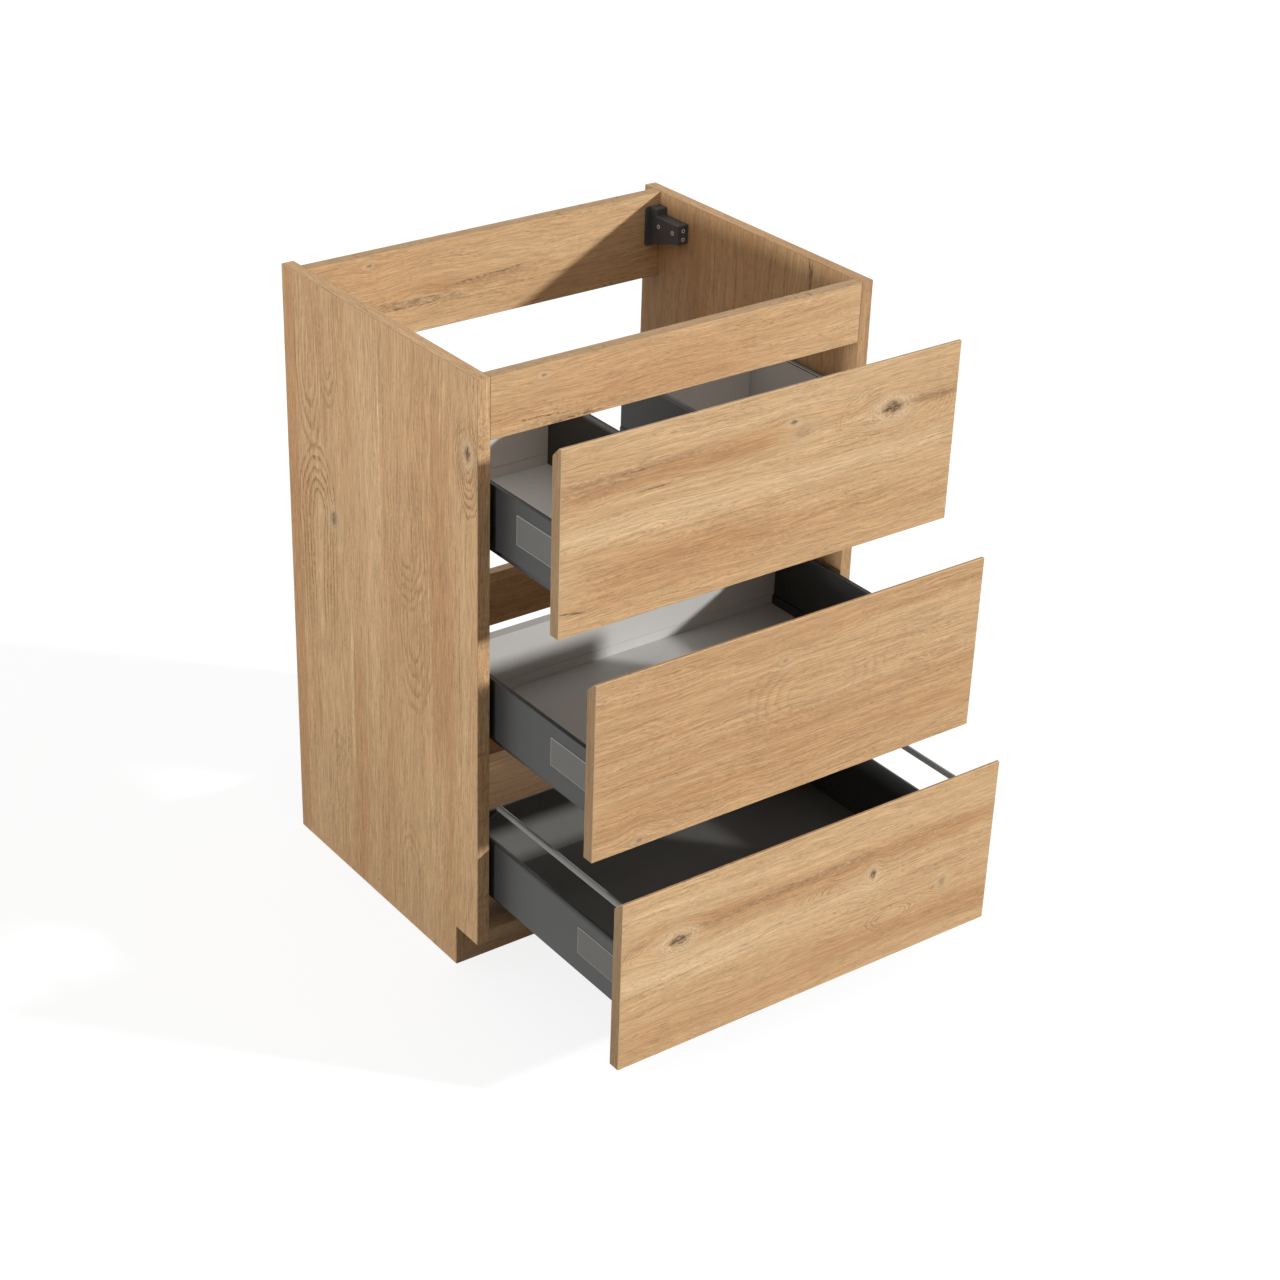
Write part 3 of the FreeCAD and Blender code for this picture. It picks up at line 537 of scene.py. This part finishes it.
# Both side panels have their top ends painted lighter than their faces, as painted light on the tops
board("side_panel_left", UPRIGHT, 5.1, figure=0.55, tone=-0.12, vivid=1.35, end_shade=1.06, edge_shade=1.0,
      knots=((102.0, 440.0, 8.5, 6.0, 1.0, 3.6), (318.0, 117.0, 10.0, 7.5, 0.6, 3.0)),
      arches=((228.0, 76.0, 100.0, 50.0, 260.0, 6.0, -1, 1.0),
              (236.0, 62.0, 110.0, 34.0, 220.0, 4.0, 1, 0.7),
              (170.0, 112.0, 80.0, 24.0, 120.0, 4.0, 1, 0.65),
              (186.0, 443.0, 84.0, 27.0, 60.0, 8.0, 1, 1.0),
              (58.0, 438.0, 60.0, 30.0, 60.0, 6.0, -1, 0.5),
              (380.0, 300.0, 90.0, 50.0, 150.0, 6.0, 1, 0.55),
              (520.0, 316.0, 120.0, 44.0, 120.0, 5.0, 1, 0.5),
              (690.0, 300.0, 80.0, 34.0, 130.0, 4.0, -1, 0.45),
              (640.0, 110.0, 90.0, 26.0, 150.0, 4.0, -1, 0.5)),
      bands=((13.0, 16.0, 0.0, 856.0, -0.35), (85.0, 34.0, 150.0, 480.0, 0.3),
             (110.0, 40.0, 540.0, 800.0, 0.35), (200.0, 40.0, 0.0, 856.0, 0.12),
             (235.0, 4.0, 60.0, 290.0, 0.9), (155.0, 6.0, 450.0, 660.0, 0.9),
             (193.0, 3.0, 480.0, 640.0, 0.6), (102.0, 12.0, 150.0, 215.0, -0.7),
             (60.0, 30.0, 20.0, 240.0, 0.25)),
      streaks=((100.0, 8.0, 150.0, 215.0, 0.4, 0.0), (413.0, 1.2, 200.0, 330.0, 0.6, 0.0),
               (421.0, 1.3, 260.0, 440.0, 0.7, 0.0), (425.0, 1.0, 380.0, 460.0, 0.5, 0.0),
               (346.0, 2.6, 80.0, 120.0, 0.45, 0.0), (175.0, 1.4, 690.0, 856.0, 0.4, 0.0),
               (262.0, 1.2, 490.0, 560.0, 0.35, 0.03), (135.0, 3.0, 60.0, 130.0, 0.35, 0.02),
               (116.0, 5.0, 324.0, 352.0, 0.4, 0.0), (40.0, 4.0, 350.0, 372.0, 0.3, 0.0),
               (105.0, 2.4, 640.0, 760.0, 0.35, 0.02), (118.0, 1.3, 620.0, 700.0, 0.45, 0.05),
               (30.0, 4.0, 700.0, 720.0, 0.4, 0.0), (270.0, 6.0, 690.0, 710.0, 0.25, 0.0),
               (245.0, 1.3, 60.0, 110.0, 0.4, 0.0), (205.0, 1.2, 200.0, 300.0, 0.35, 0.02)),
      joints=((27.0, -1.0, 0.0, 856.0, -0.4), (160.0, 1.0, 500.0, 856.0, -0.3),
              (358.0, 1.0, 60.0, 560.0, -0.35)))
board("side_panel_right", UPRIGHT, 8.6, figure=0.4, tone=-0.2, end_shade=1.06,
      bands=((300.0, 40.0, 0.0, 856.0, -0.2),),
      streaks=((361.5, 5.0, 0.0, 26.0, 1.0, 0.0), (364.0, 1.9, 6.0, 44.0, 1.0, 0.0),
               (358.0, 1.9, 0.0, 60.0, 0.9, 0.1), (280.0, 1.6, 0.0, 200.0, 0.3, 0.0)))
board("front_top_rail", FLAT, 41.2, figure=0.2, tone=0.05,
      knots=((75.0, 15.0, 3.5, 2.0, 0.6, 4.0),),
      bands=((62.0, 24.0, 150.0, 360.0, -0.35),),
      streaks=((66.0, 1.8, 37.0, 110.0, 0.85, 0.05), (75.0, 5.0, 60.0, 160.0, 0.7, 0.03),
               (79.0, 1.6, 90.0, 160.0, 0.9, -0.02), (70.0, 4.0, 130.0, 260.0, 0.4, 0.0)))
board("rear_top_rail", FLAT, 41.9, figure=0.2, tone=0.05,
      knots=((92.0, 15.0, 3.5, 2.0, 0.6, 4.0), (160.0, 78.0, 9.0, 4.0, 0.3, 4.0)),
      bands=((62.0, 24.0, 170.0, 380.0, -0.35), (100.0, 22.0, 0.0, 564.0, -0.2)),
      streaks=((74.0, 2.2, 100.0, 210.0, 0.9, 0.03), (79.0, 7.0, 96.0, 240.0, 0.75, 0.02),
               (70.0, 6.0, 200.0, 330.0, 0.6, -0.04), (84.0, 1.9, 120.0, 190.0, 0.9, 0.0),
               (84.0, 1.8, 300.0, 430.0, 0.55, -0.02), (88.0, 1.5, 180.0, 300.0, 0.6, 0.0),
               (66.0, 1.6, 230.0, 330.0, 0.8, -0.05)))
# The rear middle and lower rails are toned lighter than the other boards, as painted light against the
# shade they stand in behind the drawers
board("rear_middle_rail", FLAT, 47.3, figure=0.3, tone=0.35)
board("rear_lower_rail", FLAT, 53.8, figure=0.3, tone=0.35)
board("plinth_board", FLAT, 59.4, figure=0.3, tone=-0.05)
board("rear_plinth_board", FLAT, 61.1, figure=0.3, tone=-0.05)
board("bottom_panel", LEVEL, 67.7, figure=0.3, tone=0.0)


def board_grey(name, *colours):
    """Melamine facing in a middle, light and dark colour: fine specks on a faint orange peel."""
    middle, light, dark = [paint(*colour) for colour in colours]
    m = Material(name, IOR=1.45)
    cloud = m.pattern((70.0, 70.0, 70.0), 3.0, 0.5)
    speck = m.pattern((0.9, 0.9, 0.9), 2.0, 0.6)
    colour = m.mix((cloud - 0.5) * 0.8 + 0.5, middle, light)
    colour = m.mix(speck.step(0.55, 0.75) * 0.35, colour, dark)
    peel = m.pattern((1.6, 1.6, 1.6), 2.0, 0.5)
    rough = 0.46 + (cloud - 0.5) * 0.12 + (speck - 0.5) * 0.06
    return m.finish(colour, rough, peel, 0.02)


light_board = board_grey("light_board", (213, 212, 208), (220, 219, 215), (193, 192, 188))
# Drawer 2's floor and back are the same board as drawer 1's, painted darker as painted shade
middle_board_painted_shade = board_grey("middle_board_painted_shade", (197, 196, 192), (204, 203, 199), (177, 176, 172))
dark_board = board_grey("dark_board", (98, 96, 92), (104, 102, 98), (86, 84, 80))


# Light grey for the faces of drawer 1's sides that look inward along X
INWARD_GREY = paint(186, 184, 179)
INWARD_GREY_LIGHT = paint(196, 194, 189)


def coated_steel(name, *colours, rough_level=0.42, grain=0.7, metallic=0.0, inward_grey=0.0):
    """Powder-coated sheet in a middle, light and dark colour: a fine skin with clouds and rub marks.

    With inward_grey at 1 or -1, the faces that look that way along X are light grey.
    """
    middle, light, dark = [paint(*colour) for colour in colours]
    m = Material(name, IOR=1.5, Metallic=metallic)
    cloud = m.pattern((45.0, 90.0, 30.0), 3.0, 0.5)
    skin = m.pattern((grain, grain, grain), 2.0, 0.6)
    rub = m.pattern((6.0, 60.0, 2.0), 3.0, 0.6).step(0.6, 0.8)
    colour = m.mix(cloud, middle, light)
    colour = m.mix(skin.step(0.5, 0.7) * 0.4, colour, dark)
    if inward_grey:
        inward_colour = m.mix(cloud, INWARD_GREY, INWARD_GREY_LIGHT)
        colour = m.mix((m.facing[X] * inward_grey).over(INWARD_SHARE), colour, inward_colour)
    rough = rough_level + (skin - 0.5) * 0.14 - rub * 0.06
    return m.finish(colour, rough, skin, 0.03)


# The sides of drawers 1 and 2 are the same steel as drawer 3's, painted darker as painted shade on the
# upper drawers
drawer_steel = coated_steel("drawer_steel", (51, 52, 51), (58, 59, 58), (42, 43, 42))
middle_steel_painted_shade = coated_steel("middle_steel_painted_shade", (43, 44, 43), (49, 50, 49), (36, 37, 36))
back_steel = coated_steel("back_steel", (108, 107, 103), (115, 114, 110), (98, 97, 94))
top_steel_painted_shade = {side: coated_steel("top_steel_painted_shade_" + side, (42, 43, 42), (48, 49, 48), (35, 36, 35),
                                  inward_grey=inward)
               for side, inward in zip(SIDES, (1.0, -1.0))}
runner_zinc = coated_steel("runner_zinc", (150, 152, 153), (172, 173, 173), (126, 128, 130),
                           rough_level=0.36, grain=1.4, metallic=0.85)
rod_metal = coated_steel("rod_metal", (124, 124, 122), (132, 132, 130), (112, 112, 110),
                         rough_level=0.24, grain=0.8)


# Lighter rim of the cover plates: it is full up to the first distance from the outline, and gone at the
# second
PLATE_RIM = paint(160, 158, 152)
RIM_FULL = 0.7
RIM_GONE = 1.7


def moulded(name, *colours, rough_level=0.45, grain=0.6, edged=None):
    """Moulded plastic in a middle, light and dark colour: an even grain with faint flow marks.

    Edged names a node whose outline along Y and Z is lighter.
    """
    middle, light, dark = [paint(*colour) for colour in colours]
    m = Material(name, IOR=1.46)
    flow = m.pattern((20.0, 50.0, 14.0), 3.0, 0.55, 0.6)
    skin = m.cells(grain)
    colour = m.mix(flow, middle, light)
    colour = m.mix(skin * 0.35, colour, dark)
    if edged:
        low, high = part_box(edged)
        inset = (m.y - low[Y] * MM).least(high[Y] * MM - m.y)
        inset = inset.least(m.z - low[Z] * MM).least(high[Z] * MM - m.z)
        colour = m.mix(inset.step(RIM_GONE, RIM_FULL) * 0.8, colour, PLATE_RIM)
    rough = rough_level + (skin - 0.5) * 0.1
    return m.finish(colour, rough, skin, 0.025)


plate_finish = {number: moulded("plate_finish_%d" % number, (88, 86, 82), (94, 92, 87), (80, 78, 75),
                                rough_level=0.4, grain=0.5, edged="cover_plates_%d" % number)
                for number in DRAWERS}
hanger_plastic = moulded("hanger_plastic", (76, 79, 80), (84, 87, 88), (66, 69, 70))
wall_plastic = moulded("wall_plastic", (58, 58, 56), (64, 64, 62), (49, 49, 48), rough_level=0.42)
clip_plastic = moulded("clip_plastic", (60, 60, 58), (68, 68, 66), (50, 50, 49))


def drawn_metal(name, middle, light, rough_level):
    """Drawn and plated metal: fine upright lines over a clouded surface."""
    m = Material(name, Metallic=1.0)
    drawn = m.pattern((0.35, 0.35, 6.0), 3.0, 0.6)
    cloud = m.pattern((4.0, 9.0, 4.0), 3.0, 0.6)
    colour = m.mix(cloud * 0.7 + drawn * 0.3, paint(*middle), paint(*light))
    rough = rough_level + (drawn - 0.5) * 0.16 + (cloud - 0.5) * 0.1
    return m.finish(colour, rough, drawn, 0.015)


plated = drawn_metal("plated", (170, 166, 158), (204, 200, 192), 0.32)


# Screw heads, in mm: the socket's inner and outer radius, and a fixing screw's inset from the end
SOCKET_INNER = 1.35
SOCKET_OUTER = 1.75
FIXING_INSET = 3.0


def ringed(name, axis, centres):
    """Plated screw heads with a dark socket round each centre, given in mm across the axis. The dark socket
    is painted shade for the socket's hollow.
    """
    m = Material(name, IOR=1.5)
    first, second = [m.place[other] for other in (X, Y, Z) if other != axis]
    away = None
    for centre_first, centre_second in centres:
        here = distance(first - centre_first, second - centre_second)
        away = here if away is None else away.least(here)
    turned = m.noise(away / 0.18, 3.0, 1.0, 2.0, 0.5)
    colour = m.mix(turned, paint(222, 219, 214), paint(238, 235, 230))
    colour = m.mix(away.step(SOCKET_OUTER, SOCKET_INNER), colour, paint(52, 51, 49))
    rough = 0.34 + (turned - 0.5) * 0.12
    return m.finish(colour, rough, turned, 0.02)


for side in SIDES:
    for piece in ("height_screw_", "depth_screw_"):
        low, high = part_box(piece + side)
        centre = [(low[axis] + high[axis]) * MM / 2.0 for axis in (X, Z)]
        set_finish(ringed("rings_" + piece + side, Y, [centre]), piece + side)
low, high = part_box("hanger_fixings")
height = (low[Z] + high[Z]) * MM / 2.0
ends = (low[Y] * MM + FIXING_INSET, high[Y] * MM - FIXING_INSET)
set_finish(ringed("rings_fixings", X, [(end, height) for end in ends]), "hanger_fixings")

set_finish(light_board, "drawer_floor_1", "drawer_back_left_1", "drawer_back_right_1")
set_finish(middle_board_painted_shade, "drawer_floor_2", "drawer_back_2")
set_finish(dark_board, "drawer_floor_3")
set_finish(back_steel, "drawer_back_3")
set_finish(rod_metal, "gallery_rod_left", "gallery_rod_right")
set_finish(clip_plastic, "gallery_holders")
set_finish(wall_plastic, "cutout_wall_left", "cutout_wall_right", "cutout_cross_wall")
for side in SIDES:
    set_finish(top_steel_painted_shade[side], "drawer_side_%s_1" % side)
    set_finish(middle_steel_painted_shade, "drawer_side_%s_2" % side)
    set_finish(drawer_steel, "drawer_side_%s_3" % side)
    set_finish(hanger_plastic, "hanger_housing_" + side)
    set_finish(plated, "hanger_carriage_" + side, "hanger_hook_" + side)
    set_finish(runner_zinc, *["runner_rail_%s_%d" % (side, number) for number in DRAWERS])
for number in DRAWERS:
    set_finish(plate_finish[number], "cover_plates_%d" % number)
    set_finish(runner_zinc, "front_brackets_%d" % number, "runner_members_%d" % number)


# Edges: the boards that show get a small rounded arris that catches the light
for name in ("side_panel_left", "side_panel_right", "front_top_rail", "rear_top_rail", "rear_middle_rail",
             "rear_lower_rail", "plinth_board", "bottom_panel", "drawer_front_1", "drawer_front_2",
             "drawer_front_3"):
    weld = nodes[name].modifiers.new("weld", "WELD")
    weld.merge_threshold = WELD_REACH
    arris = nodes[name].modifiers.new("arris", "BEVEL")
    arris.width = ARRIS_WIDTH / MM
    arris.segments = ARRIS_STEPS
    arris.limit_method = "ANGLE"
    arris.angle_limit = math.radians(ARRIS_ANGLE)


# Stage: a pale floor that keeps the shadow and is white to the camera, a pale room, lamps and camera
def seen_straight(tree):
    """Is 1 for what the camera sees itself, in gloss or through glass, and 0 for what lights."""
    path = tree.nodes.new("ShaderNodeLightPath")
    seen = Field(tree, path.outputs["Is Camera Ray"])
    for kind in ("Is Glossy Ray", "Is Transmission Ray"):
        seen = seen.most(Field(tree, path.outputs[kind]))
    return seen


def stage_floor():
    mesh = bpy.data.meshes.new("floor")
    corners = [(-FLOOR_HALF, -FLOOR_HALF, 0.0), (FLOOR_HALF, -FLOOR_HALF, 0.0),
               (FLOOR_HALF, FLOOR_HALF, 0.0), (-FLOOR_HALF, FLOOR_HALF, 0.0)]
    mesh.from_pydata(corners, [], [(0, 1, 2, 3)])
    floor = bpy.data.objects.new("floor", mesh)
    floor.location.z = cad_low[Z] - FLOOR_GAP
    bpy.context.scene.collection.objects.link(floor)
    material = bpy.data.materials.new("floor")
    material.use_nodes = True
    tree = material.node_tree
    tree.nodes.clear()
    out = tree.nodes.new("ShaderNodeOutputMaterial")
    diffuse = tree.nodes.new("ShaderNodeBsdfDiffuse")
    diffuse.inputs["Color"].default_value = (FLOOR_PAINT, FLOOR_PAINT, FLOOR_PAINT, 1.0)
    glow = tree.nodes.new("ShaderNodeEmission")
    feed(tree, glow.inputs["Strength"], seen_straight(tree) * FLOOR_WHITE)
    total = tree.nodes.new("ShaderNodeAddShader")
    tree.links.new(diffuse.outputs[0], total.inputs[0])
    tree.links.new(glow.outputs[0], total.inputs[1])
    tree.links.new(total.outputs[0], out.inputs["Surface"])
    mesh.materials.append(material)
    floor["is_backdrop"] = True


def stage_world():
    world = bpy.data.worlds.new("room")
    world.use_nodes = True
    tree = world.node_tree
    back = tree.nodes["Background"]
    back.inputs["Color"].default_value = (1.0, 1.0, 1.0, 1.0)
    direction = tree.nodes.new("ShaderNodeTexCoord")
    parts = tree.nodes.new("ShaderNodeSeparateXYZ")
    tree.links.new(direction.outputs["Generated"], parts.inputs[0])
    height = Field(tree, parts.outputs[Z])
    room = height.step(ROOM_CHANGE, 0.0) * (ROOM_LOW - ROOM_HIGH) + ROOM_HIGH
    feed(tree, back.inputs["Strength"], blend_values(seen_straight(tree), room, 1.0))
    bpy.context.scene.world = world


def stage_lamp(name, travel, strength, spread):
    data = bpy.data.lights.new(name, "SUN")
    data.energy = strength
    data.angle = math.radians(spread)
    obj = bpy.data.objects.new(name, data)
    obj.rotation_euler = Vector(travel).to_track_quat("-Z", "Y").to_euler()
    bpy.context.scene.collection.objects.link(obj)


def stage_camera():
    data = bpy.data.cameras.new("camera")
    data.lens = CAMERA_LENS
    data.sensor_width = CAMERA_SENSOR
    data.shift_x, data.shift_y = CAMERA_SHIFT
    data.clip_end = CAMERA_REACH
    camera = bpy.data.objects.new("camera", data)
    camera.location = CAMERA_PLACE
    camera.rotation_euler = [math.radians(angle) for angle in CAMERA_TURN]
    bpy.context.scene.collection.objects.link(camera)
    bpy.context.scene.camera = camera


stage_floor()
stage_world()
stage_lamp("key", KEY_TRAVEL, KEY_STRENGTH, KEY_SPREAD)
stage_lamp("fill", FILL_TRAVEL, FILL_STRENGTH, FILL_SPREAD)
stage_camera()
bpy.context.scene.view_settings.view_transform = "Standard"

low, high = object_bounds()
